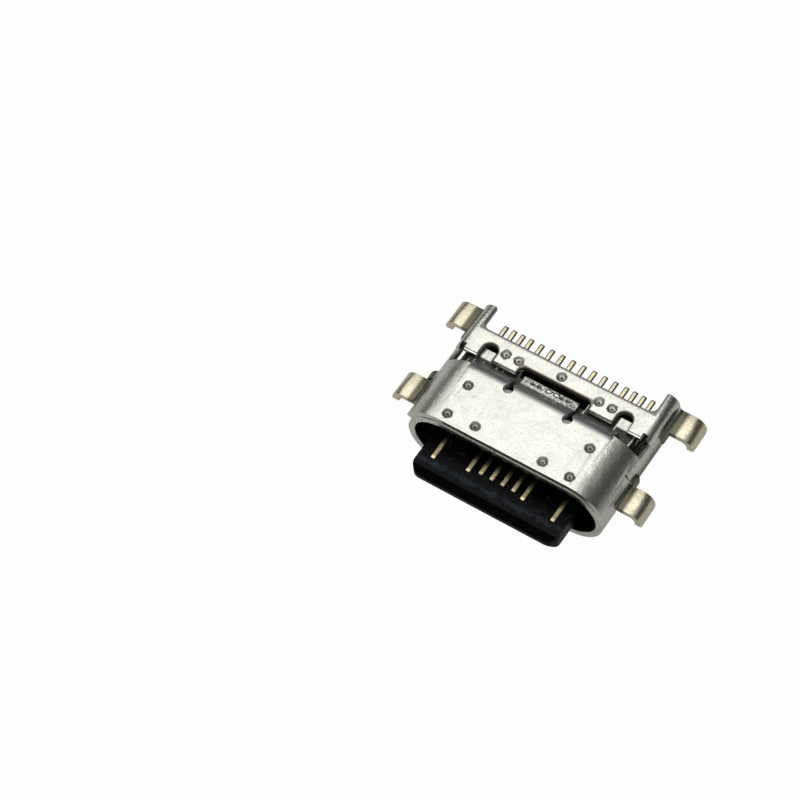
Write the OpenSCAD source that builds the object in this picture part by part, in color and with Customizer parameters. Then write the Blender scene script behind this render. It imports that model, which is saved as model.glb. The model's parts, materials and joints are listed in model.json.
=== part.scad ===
// Mid-mount USB-C socket with sixteen contacts, for a cut-out in a circuit board.
// X runs along the contact rows, Y runs from the mouth to the tails and Z stands up
// from the board. The origin is in the rim plane of the mouth, on the tongue's centre.

/* [Mouth tube] */
// Width of the mouth inside the rim
mouth_w = 8.34; // [8.1:0.02:8.6]
// Height of the mouth inside the rim
mouth_h = 2.56; // [2.4:0.02:2.8]
// Wall of the drawn inner shell
wall_t = 0.3; // [0.2:0.01:0.34]
// Depth of the tube from the rim to the start of the step
tube_depth = 2.6; // [2.3:0.05:3]
// Length of the drawn step between tube and neck
step_len = 0.55; // [0.45:0.01:0.7]
// How far the step comes in at the top and at the bottom
step_drop = 0.43; // [0.3:0.01:0.5]
// How far the step comes in at each end
step_side = 0.32; // [0.2:0.01:0.45]
// Length of the neck behind the step
neck_len = 0.97; // [0.9:0.01:1.2]
// Outer corner radius of the neck
neck_r = 0.55; // [0.4:0.01:0.7]
// Half width of the opening in the top of the neck, behind the weld pad
neck_cut = 1.5; // [1.2:0.05:1.6]
// Bevel on the rim of the mouth
lip = 0.04; // [0.01:0.01:0.08]

/* [Cover] */
// Sheet of the stamped cover
cover_t = 0.25; // [0.15:0.01:0.3]
// Distance from the rim back to the front edge of the cover
cover_setback = 0.04; // [0.01:0.01:0.3]
// Distance from the rim back to the rear edge of the cover's wrapped ends
cover_rear = 2.9; // [2.7:0.02:3.1]
// Distance from the rim back to the bend of the cover's sloping flaps
flap_start = 2.7; // [2.6:0.02:2.8]
// Length of the two outer sloping flaps
flap_len = 0.5; // [0.3:0.02:0.5]
// Inside radius of the flaps' bend
flap_r = 0.18; // [0.05:0.01:0.2]
// Half width from the centre line to the outer end of a flap
flap_reach = 3.25; // [2.8:0.05:3.4]
// Half width of the middle flap and its weld pad
pad_half = 1.25; // [0.9:0.05:1.35]
// Distance from the rim back to the end of the weld pad
pad_rear = 3.7; // [3.5:0.05:3.85]
// Gap between the middle flap and its neighbours
flap_gap = 0.2; // [0.1:0.02:0.3]
// Radius of the round relief at the root of each gap
relief_r = 0.22; // [0.15:0.01:0.3]

/* [Rear plate] */
// Distance from the rim back to the front edge of the rear plate
plate_front = 3.62; // [3.56:0.01:3.66]
// Distance from the rim back to the rear edge of the rear plate
plate_rear = 4.8; // [4.6:0.05:5]
// Half width to the outer face of the side walls
side_x = 4.5; // [4.46:0.01:4.6]
// Inside radius of the bends at the plate's sides
side_r = 0.22; // [0.1:0.01:0.24]
// Inside radius of the bends at the weld pad
bend_r = 0.05; // [0.02:0.01:0.12]
// Half width of the window behind the weld pad
window_half = 1.65; // [1.4:0.05:1.8]
// Distance from the rim back to the rear edge of the window
window_rear = 4.03; // [3.9:0.01:4.1]
// Corner radius of the window
window_r = 0.3; // [0.1:0.01:0.4]
// Half distance between the two round-ended notches
notch_x = 3.1; // [3:0.02:3.3]
// Radius of the round-ended notches
notch_r = 0.33; // [0.2:0.01:0.36]
// Distance from the rim back to the end of the notches
notch_rear = 4.3; // [4.1:0.02:4.4]
// Inner edge of the ears that reach back past the plate
ear_x = 3.95; // [3.8:0.01:4.1]
// Inner edge of the small reliefs where the plate's front edge meets the straps
corner_x = 4.05; // [3.9:0.01:4.1]
// Width of those small reliefs
corner_w = 0.24; // [0.15:0.01:0.3]
// Depth of those small reliefs
corner_d = 0.2; // [0.1:0.01:0.3]
// How far the coined lip stands in front of the plate
lip_len = 0.08; // [0.04:0.01:0.1]
// Height of the upper edge of the straps that join the saddle to the plate
strap_high = 1.05; // [0.98:0.01:1.09]

/* [Legs] */
// Width of each solder leg
leg_w = 1.15; // [0.9:0.01:1.25]
// Distance from the rim back to the middle of the front legs
leg_front = 1.35; // [1.1:0.01:1.4]
// Distance between the middles of the front and rear legs
leg_pitch = 3.93; // [3.8:0.01:4.1]
// Half width across the tips of the legs
leg_reach = 5.72; // [5.5:0.01:6]
// Height of the legs' upper face above the tongue's centre
leg_top = 0.7; // [0.6:0.01:0.75]
// Height of the legs' tips
leg_tip = -0.05; // [-0.4:0.01:0.1]
// Radius of the hollow bend at the root of a front leg
root_r = 0.34; // [0.15:0.01:0.38]
// Radius of the hollow bend at the root of a rear leg
rear_root_r = 0.2; // [0.1:0.01:0.3]
// Inside radius of the curl at the tip of a leg
curl_r = 0.25; // [0.05:0.01:0.3]
// Corner radius at the tip of a leg
tip_r = 0.2; // [0.05:0.01:0.3]
// Length of the short flared tab beside each leg
tab_len = 0.5; // [0.3:0.01:0.55]
// Width of the relief cut beside each front leg
slit_w = 0.08; // [0.05:0.01:0.12]

/* [Weld spots] */
// Radius of a weld spot
spot_r = 0.21; // [0.1:0.01:0.22]
// Depth of a weld spot
spot_depth = 0.07; // [0.02:0.01:0.08]

/* [Tongue] */
// Width of the tongue
tongue_w = 6.69; // [6.5:0.01:6.8]
// Thickness of the tongue
tongue_t = 0.7; // [0.66:0.01:0.74]
// How far the tongue stands out in front of the rim
tongue_out = 1.7; // [1.2:0.05:2]
// Corner radius of the tongue's tip
tongue_r = 0.5; // [0.2:0.05:0.8]
// Length of the bevel on the tongue's tip
nose_len = 0.3; // [0.1:0.02:0.4]
// Thickness left at the tongue's very edge
nose_t = 0.22; // [0.1:0.01:0.4]
// Length of the latch recess in each side of the tongue
latch_len = 1.1; // [0.6:0.05:1.2]
// Distance from the rim back to the start of the latch recess
latch_y = 0.7; // [0.5:0.05:0.75]
// Depth of the latch recess
latch_d = 0.25; // [0.1:0.01:0.3]
// Length of the collar that closes the back of the mouth
collar_len = 0.5; // [0.3:0.05:0.55]
// Clearance between the mouldings and the shell
mould_gap = 0.02; // [0.01:0.01:0.04]
// How far the mouldings stand out behind the neck
block_out = 0.78; // [0.6:0.02:0.88]

/* [Contacts and shield plate] */
// Thickness of the shield plate between the rows
shield_t = 0.15; // [0.1:0.01:0.18]
// Distance kept between the shield plate and the tongue's tip
shield_inset = 0.4; // [0.35:0.05:0.8]
// Distance from the rim back to the end of the shield plate
shield_rear = 3.9; // [3.5:0.05:4.1]
// Width of a contact on the tongue
contact_w = 0.25; // [0.2:0.01:0.28]
// Thickness of a contact
contact_t = 0.12; // [0.08:0.01:0.14]
// Pitch of the contacts on the tongue
contact_pitch = 0.5; // [0.48:0.01:0.52]
// How far the ground contacts stand out in front of the rim
ground_out = 0.89; // [0.7:0.01:1]
// How far the power contacts stand out in front of the rim
power_out = 0.69; // [0.6:0.01:0.8]
// How far the signal contacts stand out in front of the rim
signal_out = 0.55; // [0.4:0.01:0.7]
// Width of a solder tail
tail_w = 0.22; // [0.16:0.01:0.26]
// Pitch of the ten inner solder tails
tail_pitch = 0.49; // [0.45:0.01:0.52]
// Pitch of the three outer tails at each end
outer_pitch = 0.4; // [0.36:0.01:0.42]
// Distance from the rim back to the tips of the tails
tail_end = 5.7; // [5.5:0.02:6]
// Height of the tails' middle above the tongue's centre
tail_z = 0.6; // [0.5:0.01:0.66]
// Distance from the rim back to where the contacts start to fan out
fan_start = 2.7; // [2.5:0.05:2.9]
// Distance from the rim back to where the contacts have fanned out
fan_end = 4.05; // [3.9:0.05:4.1]
// Distance from the rim back to the risers of the upper row
riser_a = 4.2; // [4.15:0.01:4.25]
// Distance from the rim back to the risers of the lower row
riser_b = 4.45; // [4.4:0.01:4.5]
// Bevel on the tip of a tail
tail_bevel = 0.05; // [0.01:0.01:0.08]

/* [Hidden] */
$fn = 48;
far = 20;              // longer than anything in the part
corner_steps = 12;     // facets in each rounded corner
facet = 90 / corner_steps;
step_rings = 6;        // rings along the drawn step
slope_a = 45;          // slope of the cover's flaps
cut_lap = 0.08;        // how far the neck's opening reaches in under the weld pad

// Drawn shell
tube_w = mouth_w + 2 * wall_t;
tube_h = mouth_h + 2 * wall_t;
tube_section = [tube_w / 2, tube_h / 2, tube_h / 2];
neck_section = [tube_w / 2 - step_side, tube_h / 2 - step_drop, neck_r];
step_end = tube_depth + step_len;
neck_rear = step_end + neck_len;
step_lead = wall_t * tan(slope_a / 2);
neck_top = neck_section[1];
neck_in_w = neck_section[0] - wall_t;
neck_in_h = neck_section[1] - wall_t;
neck_in_r = neck_r - wall_t;

// Cover
end_x = (tube_w - tube_h) / 2;                   // centre of the tube's round ends
cover_r = tube_h / 2 + cover_t;                  // outer radius of the wrapped ends
plate_top = neck_top + cover_t;
bend_out = bend_r + cover_t;
side_out = side_r + cover_t;
bend_low = plate_top - side_out;                 // where the plate's side bends end
root_z = leg_top + root_r;                       // height of the centre of a front leg's root
root_a = asin(root_z / (cover_r + root_r));      // where the front legs leave the wrap
root_x = end_x + (cover_r + root_r) * cos(root_a);
rear_r = min(rear_root_r, bend_low - leg_top - 0.02);   // keeps the root below the plate's bend
rear_z = leg_top + rear_r;
curl_out = curl_r + cover_t;
curl_x = leg_reach - curl_out;
curl_z = leg_top - curl_out;
front_leg = [leg_front - leg_w / 2, leg_front + leg_w / 2];
rear_leg = [for (y = front_leg) y + leg_pitch];
wall_low = leg_top - cover_t;                    // lower edge of the side walls
strap_a = asin(strap_high / cover_r);
strap_end = rear_leg[0] - tab_len;
skirt_a = asin(wall_low / cover_r);
slope_dir = [cos(slope_a), -sin(slope_a)];
flap_pivot = [flap_start, tube_h / 2 - flap_r];
flap_drop = tube_h / 2 - neck_top - flap_r * (1 - cos(slope_a));
flap_run = min(flap_len, (flap_drop - 0.01) / sin(slope_a));   // keeps the flaps off the neck
flap_foot = (flap_drop - bend_out * (1 - cos(slope_a))) / sin(slope_a);
flap_end = flap_start + (flap_r + bend_out) * sin(slope_a) + flap_foot * cos(slope_a);
pad_pivot = [flap_end, plate_top + bend_r];
spot_ball = (spot_r * spot_r + spot_depth * spot_depth) / (2 * spot_depth);
cover_top = tube_h / 2 + cover_t;
top_spots = [[2.78, 1.93], [2.78, 0.44], [1.54, 0.49], [-2.78, 1.93], [-2.78, 0.44], [-1.54, 0.49]];
plate_spots = [[2.44, 4.13], [1.85, 4.13], [0, 4.36], [-2.44, 4.13], [-1.85, 4.13]];

// Mouldings
collar_end = tube_depth - step_lead - mould_gap;
collar_start = collar_end - collar_len;
block_rear = neck_rear + block_out;
latch_x = tongue_w / 2 - latch_d;

// Contacts: name, row (1 upper, -1 lower), place on the tongue in half pitches, tail number
// counted from the left, and how far the tip stands out in front of the rim.
contacts = [
    ["contact_a1", 1, -11, 0, ground_out],
    ["contact_b12", -1, -11, 1, ground_out],
    ["contact_a4", 1, -5, 2, power_out],
    ["contact_b9", -1, -5, 3, power_out],
    ["contact_b8", -1, -3, 4, signal_out],
    ["contact_a5", 1, -3, 5, signal_out],
    ["contact_b7", -1, -1, 6, signal_out],
    ["contact_a6", 1, -1, 7, signal_out],
    ["contact_a7", 1, 1, 8, signal_out],
    ["contact_b6", -1, 1, 9, signal_out],
    ["contact_a8", 1, 3, 10, signal_out],
    ["contact_b5", -1, 3, 11, signal_out],
    ["contact_b4", -1, 5, 12, power_out],
    ["contact_a9", 1, 5, 13, power_out],
    ["contact_b1", -1, 11, 14, ground_out],
    ["contact_a12", 1, 11, 15, ground_out],
];
inner_half = 5;        // inner tails on each side of the centre line

// Place of a tail: the inner ones at one pitch, the outer three at a closer one.
function tail_side(k) = k < inner_half
    ? (k + 0.5) * tail_pitch
    : (inner_half - 0.5) * tail_pitch + (k - inner_half + 1) * outer_pitch;
function tail_x(i) = let(half = len(contacts) / 2)
    i < half ? -tail_side(half - 1 - i) : tail_side(i - half);

// Smooth step from 0 to 1.
function ease(u) = u * u * (3 - 2 * u);

// A drawn section [half width, half height, corner radius] made smaller all round.
function inset(s, d) = [for (v = s) v - d];

// Points of a rounded section, with one point in the middle of each end, so that a
// full round end and a squarer one have the same number of points.
function ring(s, y) = concat(
    [[s[0], y, 0]],
    [for (q = [0:3]) for (i = [0:corner_steps - 1])
        let(
            step = (q % 2 == 0) ? i + 1 : i,
            a = 90 * (q + step / corner_steps),
            cx = (q == 0 || q == 3) ? s[0] - s[2] : s[2] - s[0],
            cz = q < 2 ? s[1] - s[2] : s[2] - s[1]
        )
        each concat(
            (q == 2 && i == 0) ? [[-s[0], y, 0]] : [],
            [[cx + s[2] * cos(a), y, cz + s[2] * sin(a)]]
        )]
);

// Rings of one skin of the drawn shell, from the rim to the end of the neck. d is how
// far the skin lies inside the outer one, and lead how far its step lies in front.
function skin(d, lead, bevel) = concat(
    [ring(inset(tube_section, d + bevel), 0)],
    [ring(inset(tube_section, d), lip)],
    [for (k = [0:step_rings])
        let(u = k / step_rings, s = ease(u))
        ring(inset(tube_section * (1 - s) + neck_section * s, d), tube_depth - lead + step_len * u)],
    [ring(inset(neck_section, d), neck_rear)]
);

// Angles from a0 to a1, on the same even steps as the drawn shell's corners.
function stops(a0, a1) = concat(
    [a0],
    a0 < a1
        ? [for (k = [floor(a0 / facet) + 1:ceil(a1 / facet) - 1]) k * facet]
        : [for (k = [ceil(a0 / facet) - 1:-1:floor(a1 / facet) + 1]) k * facet],
    [a1]
);

function arc(centre, r, a0, a1) = [for (a = stops(a0, a1)) centre + r * [cos(a), sin(a)]];

module along_y(y0, y1) {
    translate([0, y1, 0]) rotate([90, 0, 0]) linear_extrude(y1 - y0) children();
}

module along_x(x0, x1) {
    translate([x0, 0, 0]) rotate([90, 0, 90]) linear_extrude(x1 - x0) children();
}

module both_sides() {
    children();
    mirror([1, 0, 0]) children();
}

// Box from one corner to the other.
module block(low, high) {
    translate(low) cube(high - low);
}

// Flat bar with full round ends.
module obround(w, h) {
    square([w - h, h], center = true);
    for (s = [-1, 1]) translate([s * (w - h) / 2, 0]) circle(d = h);
}

module rounded(w, h, r) {
    square([w - 2 * r, h], center = true);
    square([w, h - 2 * r], center = true);
    for (x = [-1, 1]) for (y = [-1, 1])
        translate([x * (w / 2 - r), y * (h / 2 - r)]) circle(r = r);
}

// Drawn shell: an obround tube that steps down to a squarer neck, open at both ends.
module drawn_body() {
    outside = skin(0, 0, lip);
    inside = skin(wall_t, step_lead, -lip);
    rings = concat(outside, [for (i = [len(inside) - 1:-1:0]) inside[i]]);
    count = len(rings[0]);
    last = len(rings);
    faces = [for (j = [0:last - 1]) for (i = [0:count - 1])
        let(n = (i + 1) % count, m = (j + 1) % last)
        [j * count + i, m * count + i, m * count + n, j * count + n]];
    polyhedron(points = [for (r = rings) each r], faces = faces);
}

// Shell with the opening in its neck, cut from the rear end to just under the weld pad.
module inner_shell() {
    color("lightsteelblue") difference() {
        drawn_body();
        block([-neck_cut, pad_rear - cut_lap, neck_in_h - wall_t / 2], [neck_cut, far, far]);
    }
}

// Section of the cover where it wraps the tube, in the XZ plane. It ends on a radial
// face at each side, where the legs leave it.
module wrap_section() {
    right = [end_x, 0];
    left = [-end_x, 0];
    polygon(concat(
        arc(right, cover_r, root_a, 90),
        arc(left, cover_r, 90, 180 - root_a),
        arc(left, tube_h / 2, 180 - root_a, 90),
        arc(right, tube_h / 2, 90, root_a)
    ));
}

// Upper and lower faces of a sloping flap, in the YZ plane: a bend and a straight run.
function flap_upper(run) = let(bent = arc(flap_pivot, flap_r + cover_t, 90, 90 - slope_a))
    concat(bent, [bent[len(bent) - 1] + run * slope_dir]);
function flap_lower(run) = let(bent = arc(flap_pivot, flap_r, 90 - slope_a, 90))
    concat([bent[0] + run * slope_dir], bent);

module flap_section() {
    polygon(concat(flap_upper(flap_run), flap_lower(flap_run)));
}

// The middle flap goes on to a level weld pad that lies on the neck.
module pad_section() {
    polygon(concat(
        flap_upper(flap_foot),
        arc(pad_pivot, bend_r, 270 - slope_a, 270),
        [[pad_rear, plate_top], [pad_rear, neck_top]],
        arc(pad_pivot, bend_out, 270, 270 - slope_a),
        flap_lower(flap_foot)
    ));
}

module flaps() {
    along_x(-pad_half, pad_half) pad_section();
    both_sides() along_x(pad_half + flap_gap, flap_reach) flap_section();
}

// Saddle over the tube, with its flat rear edge cut back to the flaps.
module saddle() {
    difference() {
        along_y(cover_setback, cover_rear) wrap_section();
        block([-flap_reach, flap_start, tube_h / 2], [flap_reach, far, far]);
    }
    flaps();
}

// Reliefs between the flaps, each a slot with a round root.
module flap_reliefs() {
    x = pad_half + flap_gap / 2;
    both_sides() {
        translate([x, flap_start - flap_gap / 2, neck_top]) cylinder(r = relief_r, h = far);
        block([x - flap_gap / 2, flap_start - flap_gap, neck_top], [x + flap_gap / 2, cover_rear, far]);
    }
}

// Rear plate with its bent sides, in the XZ plane.
module plate_section() {
    right = [side_x - side_out, bend_low];
    left = [side_out - side_x, bend_low];
    polygon(concat(
        [[side_x, rear_z]],
        arc(right, side_out, 0, 90),
        arc(left, side_out, 90, 180),
        [[-side_x, rear_z], [cover_t - side_x, rear_z]],
        arc(left, side_r, 180, 90),
        arc(right, side_r, 90, 0),
        [[side_x - cover_t, rear_z]]
    ));
}

// Window behind the weld pad, open to the front.
module window_plan() {
    y = window_rear - window_r;
    x = window_half - window_r;
    polygon(concat(
        [[-window_half, flap_start], [window_half, flap_start]],
        arc([x, y], window_r, 0, 90),
        arc([-x, y], window_r, 90, 180)
    ));
}

// Round-ended notch in the front edge.
module notch_plan() {
    polygon(concat(
        [[notch_x - notch_r, flap_start], [notch_x + notch_r, flap_start]],
        arc([notch_x, notch_rear - notch_r], notch_r, 0, 180)
    ));
}

// Space between the ears, with round corners.
module ear_plan() {
    y = plate_rear + window_r;
    x = ear_x - window_r;
    polygon(concat(
        arc([-x, y], window_r, 180, 270),
        arc([x, y], window_r, 270, 360),
        [[ear_x, far], [-ear_x, far]]
    ));
}

module plate_cuts() {
    window_plan();
    both_sides() {
        notch_plan();
        translate([corner_x, flap_start])
            square([corner_w, plate_front + corner_d - flap_start]);
    }
    ear_plan();
}

module rear_plate() {
    difference() {
        along_y(plate_front, rear_leg[1]) plate_section();
        linear_extrude(far) plate_cuts();
    }
    // coined lip along the front edge, on both sides of each notch
    for (span = [[window_half, notch_x - notch_r], [notch_x + notch_r, corner_x]])
        both_sides() block([span[0], plate_front - lip_len, neck_top],
            [span[1], plate_front, plate_top - cover_t / 4]);
}

// Strip of the wrapped sheet from one angle to another, in the XZ plane.
module wrap_strip(a0, a1) {
    polygon(concat(
        arc([end_x, 0], cover_r, a0, a1),
        arc([end_x, 0], tube_h / 2, a1, a0)
    ));
}

// Side wall that joins the saddle to the rear plate: a skirt that goes on round the
// tube behind the front leg, and a strap that keeps its curve.
module side_wall() {
    along_y(front_leg[1] + tab_len, cover_rear) wrap_strip(skirt_a, root_a);
    along_y(cover_rear, strap_end) wrap_strip(skirt_a, strap_a);
}

// Section of a leg in the XZ plane: a hollow root of radius r that starts at angle a,
// a level run, a curl and a straight tip.
module leg_section(x, r, a) {
    root = [x, leg_top + r];
    polygon(concat(
        arc(root, r, 180 + a, 270),
        arc([curl_x, curl_z], curl_out, 90, 0),
        [[leg_reach, leg_tip], [leg_reach - cover_t, leg_tip]],
        arc([curl_x, curl_z], curl_r, 0, 90),
        arc(root, r + cover_t, 270, 180 + a)
    ));
}

// Leg between two places along Y, its tip with round corners.
module leg(span, x, r, a) {
    low = leg_tip + tip_r;
    intersection() {
        along_y(span[0], span[1]) leg_section(x, r, a);
        along_x(0, far) polygon(concat(
            arc([span[0] + tip_r, low], tip_r, 180, 270),
            arc([span[1] - tip_r, low], tip_r, 270, 360),
            [[span[1], far], [span[0], far]]
        ));
    }
}

// Flared tab beside a leg, from y on: the root bend alone, with a round outer corner.
module tab(y, x, r, a) {
    inner = x - r - cover_t;
    root = [x, leg_top + r];
    intersection() {
        along_y(y, y + tab_len) polygon(concat(
            arc(root, r, 180 + a, 270),
            arc(root, r + cover_t, 270, 180 + a)
        ));
        linear_extrude(far) polygon(concat(
            [[inner, y], [x, y]],
            arc([x - r / 2, y + tab_len - r / 2], r / 2, 0, 90),
            [[inner, y + tab_len]]
        ));
    }
}

// Weld spot: a shallow dished mark.
module spots(places, z) {
    for (p = places) translate([p[0], p[1], z - spot_depth + spot_ball]) sphere(r = spot_ball);
}

// Stamped cover: saddle, flaps, side walls, rear plate with ears, and four legs.
module outer_shell() {
    color("silver") difference() {
        union() {
            saddle();
            rear_plate();
            both_sides() {
                side_wall();
                leg(front_leg, root_x, root_r, root_a);
                leg(rear_leg, side_x + rear_r, rear_r, 0);
                tab(front_leg[1], root_x, root_r, root_a);
                mirror([0, 1, 0]) tab(-rear_leg[0], side_x + rear_r, rear_r, 0);
            }
        }
        flap_reliefs();
        both_sides() block([end_x, front_leg[1], wall_low],
            [end_x + cover_r, front_leg[1] + slit_w, root_z + slit_w]);
        spots(top_spots, cover_top);
        spots(plate_spots, plate_top);
    }
}

// All that is moulded round: the shield plate and every contact.
module inserts() {
    shield_plate_body();
    for (c = contacts) contact_body(c);
}

// Tongue with its bevelled tip and latch recesses, and the collar behind the mouth.
module tongue_moulding() {
    color("#15161a") difference() {
        union() {
            intersection() {
                translate([0, 0, -tongue_t / 2]) linear_extrude(tongue_t)
                    translate([0, (collar_end - tongue_out) / 2]) tongue_plan();
                along_x(-far, far) polygon([
                    [-tongue_out, -nose_t / 2],
                    [nose_len - tongue_out, -tongue_t / 2],
                    [far, -tongue_t / 2],
                    [far, tongue_t / 2],
                    [nose_len - tongue_out, tongue_t / 2],
                    [-tongue_out, nose_t / 2]
                ]);
            }
            along_y(collar_start, collar_end) obround(mouth_w - 2 * mould_gap, mouth_h - 2 * mould_gap);
        }
        both_sides() block([latch_x, latch_y, -tongue_t], [tongue_w, latch_y + latch_len, tongue_t]);
        inserts();
    }
}

module tongue_plan() {
    length = collar_end + tongue_out;
    front = -length / 2;
    translate([-tongue_w / 2, front + tongue_r]) square([tongue_w, length - tongue_r]);
    translate([tongue_r - tongue_w / 2, front]) square([tongue_w - 2 * tongue_r, length]);
    for (s = [-1, 1]) translate([s * (tongue_w / 2 - tongue_r), front + tongue_r]) circle(r = tongue_r);
}

// Half of the moulding in the neck, above (1) or below (-1) the shield plate.
module contact_block(side) {
    w = 2 * (neck_in_w - mould_gap);
    h = 2 * (neck_in_h - mould_gap);
    difference() {
        along_y(collar_end, block_rear) intersection() {
            rounded(w, h, neck_in_r);
            translate([-w / 2, side > 0 ? 0 : -h]) square([w, h]);
        }
        inserts();
    }
}

module upper_contact_block() {
    color("#1b1c20") contact_block(1);
}

module lower_contact_block() {
    color("#1b1c20") contact_block(-1);
}

// Shield plate between the rows, with its edges bare in the latch recesses.
module shield_plate_body() {
    block([-latch_x, shield_inset - tongue_out, -shield_t / 2], [latch_x, shield_rear, shield_t / 2]);
}

module shield_plate() {
    color("gainsboro") shield_plate_body();
}

// Contact: a strip on the tongue that fans out to its tail's place, a riser and a tail.
module contact_body(c) {
    row = c[1];
    x0 = c[2] * contact_pitch / 2;
    x1 = tail_x(c[3]);
    tip = -c[4];
    riser = row > 0 ? riser_a : riser_b;
    low = row > 0 ? tongue_t / 2 - contact_t : -tongue_t / 2;
    tail_low = tail_z - contact_t / 2;
    tail_high = tail_z + contact_t / 2;
    translate([0, 0, low]) linear_extrude(contact_t) polygon([
        [x0 - contact_w / 2, tip],
        [x0 - contact_w / 2, fan_start],
        [x1 - tail_w / 2, fan_end],
        [x1 - tail_w / 2, riser + contact_t],
        [x1 + tail_w / 2, riser + contact_t],
        [x1 + tail_w / 2, fan_end],
        [x0 + contact_w / 2, fan_start],
        [x0 + contact_w / 2, tip]
    ]);
    along_x(x1 - tail_w / 2, x1 + tail_w / 2) polygon([
        [riser, low],
        [riser + contact_t, low],
        [riser + contact_t, tail_low],
        [tail_end, tail_low],
        [tail_end, tail_high - tail_bevel],
        [tail_end - tail_bevel, tail_high],
        [riser, tail_high]
    ]);
}

module contact(c) {
    color("gold") contact_body(c);
}

inner_shell();
outer_shell();
tongue_moulding();
upper_contact_block();
lower_contact_block();
shield_plate();
for (c = contacts) contact(c);
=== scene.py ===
"""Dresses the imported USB-C socket: smooth drawn shell, stamped cover with eased edges,
mouldings, contacts and their finishes, and a plain studio round them.

All lengths in the code are millimetres in the part's own frame, and MM turns them into
Blender's metres where a mesh or a lamp is made."""

import json
import math

import bmesh
import bpy
import numpy as np
from mathutils import Matrix, Vector

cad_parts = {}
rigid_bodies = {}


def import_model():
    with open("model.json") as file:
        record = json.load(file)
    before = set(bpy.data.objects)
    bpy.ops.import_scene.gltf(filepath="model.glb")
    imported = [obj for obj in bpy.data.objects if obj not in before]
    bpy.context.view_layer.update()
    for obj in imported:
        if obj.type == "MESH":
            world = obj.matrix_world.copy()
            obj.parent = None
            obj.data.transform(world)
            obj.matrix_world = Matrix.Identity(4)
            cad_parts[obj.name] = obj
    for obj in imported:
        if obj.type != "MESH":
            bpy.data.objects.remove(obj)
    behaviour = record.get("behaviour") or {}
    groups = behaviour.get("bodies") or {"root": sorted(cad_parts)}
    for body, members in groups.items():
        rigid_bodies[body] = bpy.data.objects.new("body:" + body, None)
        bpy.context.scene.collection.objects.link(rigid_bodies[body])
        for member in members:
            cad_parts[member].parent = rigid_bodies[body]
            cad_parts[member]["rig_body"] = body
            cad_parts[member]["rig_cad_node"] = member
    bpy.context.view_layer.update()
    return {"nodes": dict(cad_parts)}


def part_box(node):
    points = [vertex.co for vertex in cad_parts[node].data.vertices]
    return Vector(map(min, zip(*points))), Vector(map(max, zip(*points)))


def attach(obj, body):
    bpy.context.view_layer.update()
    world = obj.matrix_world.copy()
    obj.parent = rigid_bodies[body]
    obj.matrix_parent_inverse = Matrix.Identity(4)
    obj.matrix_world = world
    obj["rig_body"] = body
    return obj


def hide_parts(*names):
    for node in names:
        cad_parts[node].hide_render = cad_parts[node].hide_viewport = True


bl_info = {
    "name": "USB-C socket finishes",
    "version": (1, 0, 0),
    "blender": (4, 5, 0),
    "location": "3D View > Sidebar > Socket",
    "description": "Smooth metalwork, mouldings, gold contacts and a studio for the packed socket",
    "category": "Object",
}

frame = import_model()

MM = 0.001


def extent(node):
    """Lowest and highest corner of a CAD node, in millimetres."""
    low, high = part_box(node)
    return np.array(low) / MM, np.array(high) / MM


TUBE_LOW, TUBE_HIGH = extent("inner_shell")
CONTACT_NODES = sorted(name for name in frame["nodes"] if name.startswith("contact_"))


# Sizes and colours

class SocketShell(bpy.types.PropertyGroup):
    """Sizes of the drawn shell's smooth surface."""

    wall: bpy.props.FloatProperty(
        name="Wall", description="Sheet of the drawn shell, in mm", default=0.3, min=0.1, max=0.5)
    tube_depth: bpy.props.FloatProperty(
        name="Tube depth", description="From the rim to the start of the step, in mm", default=2.6)
    step_length: bpy.props.FloatProperty(
        name="Step length", description="Length of the drawn step, in mm", default=0.55)
    step_drop: bpy.props.FloatProperty(
        name="Step drop", description="How far the step comes in above and below, in mm",
        default=0.43)
    step_side: bpy.props.FloatProperty(
        name="Step side", description="How far the step comes in at each end, in mm", default=0.32)
    neck_corner: bpy.props.FloatProperty(
        name="Neck corner", description="Outer corner radius of the neck, in mm", default=0.55)
    neck_cut: bpy.props.FloatProperty(
        name="Neck opening", description="Half width of the opening in the top of the neck, in mm",
        default=1.5)
    neck_cut_start: bpy.props.FloatProperty(
        name="Opening start", description="From the rim to the opening in the neck, in mm",
        default=3.62)
    rim_round: bpy.props.FloatProperty(
        name="Rim rounding", description="Radius on both edges of the rim, in mm", default=0.05,
        min=0.01, max=0.12)


class SocketEdges(bpy.types.PropertyGroup):
    """How far edges are eased."""

    sheet: bpy.props.FloatProperty(
        name="Sheet edges", description="Rounding on the stamped cover, in mm", default=0.04)
    moulding: bpy.props.FloatProperty(
        name="Moulded edges", description="Rounding on the black mouldings, in mm", default=0.05)
    contact: bpy.props.FloatProperty(
        name="Contact edges", description="Rounding on the contacts, in mm", default=0.05)
    splash_radius: bpy.props.FloatProperty(
        name="Splash radius", description="Radius of a weld splash on the pad, in mm", default=0.15)
    splash_height: bpy.props.FloatProperty(
        name="Splash height", description="Height of a weld splash, in mm", default=0.04)


def tint(name, description, colour):
    """A colour property."""
    return bpy.props.FloatVectorProperty(
        name=name, description=description, default=colour, size=3, subtype="COLOR", min=0, max=1)


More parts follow.
